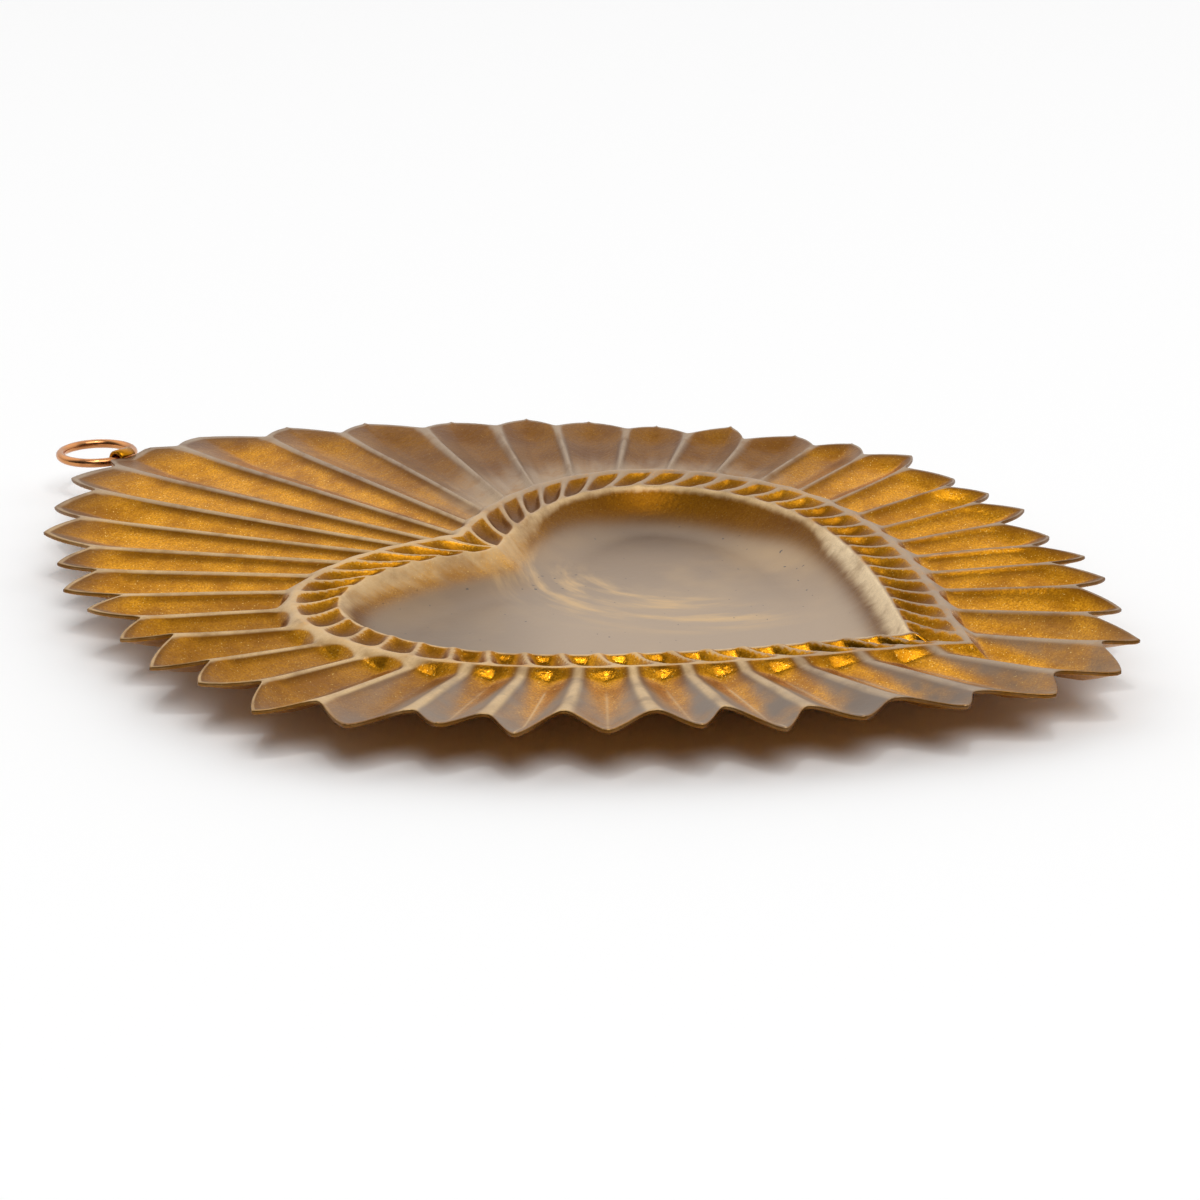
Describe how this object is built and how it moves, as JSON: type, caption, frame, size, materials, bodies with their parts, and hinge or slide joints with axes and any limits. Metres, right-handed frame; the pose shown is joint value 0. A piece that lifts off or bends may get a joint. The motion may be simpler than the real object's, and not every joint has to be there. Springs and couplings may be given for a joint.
{
  "type": "sacred heart ornament",
  "caption": "Pressed sheet-metal sacred heart: a heart-shaped dish with a rope border in a fan of fluted pointed rays, hung by a wire ring that turns in a rolled eye.",
  "frame": {"origin": "middle of the fan of rays, on the flat back of the heart's floor", "axes": "+Y up the ornament to its ring, +X to the right seen from the face, +Z out of the face"},
  "size_m": [0.124, 0.1584, 0.0066],
  "materials": {
    "bronze_lacquer": "antique bronze lacquer, satin, rubbed tan on the ridges",
    "copper_wire": "bright copper-coloured wire"
  },
  "bodies": {
    "sheet": {"heart_sheet": "bronze_lacquer"},
    "ring": {"hanging_ring": "copper_wire"}
  },
  "joints": [
    {"name": "ring_swing", "type": "hinge", "parent": "sheet", "child": "ring", "pos_m": [0, 0.07897, 0.0052], "axis": [1, 0, 0], "range_deg": [-155, 110]}
  ]
}
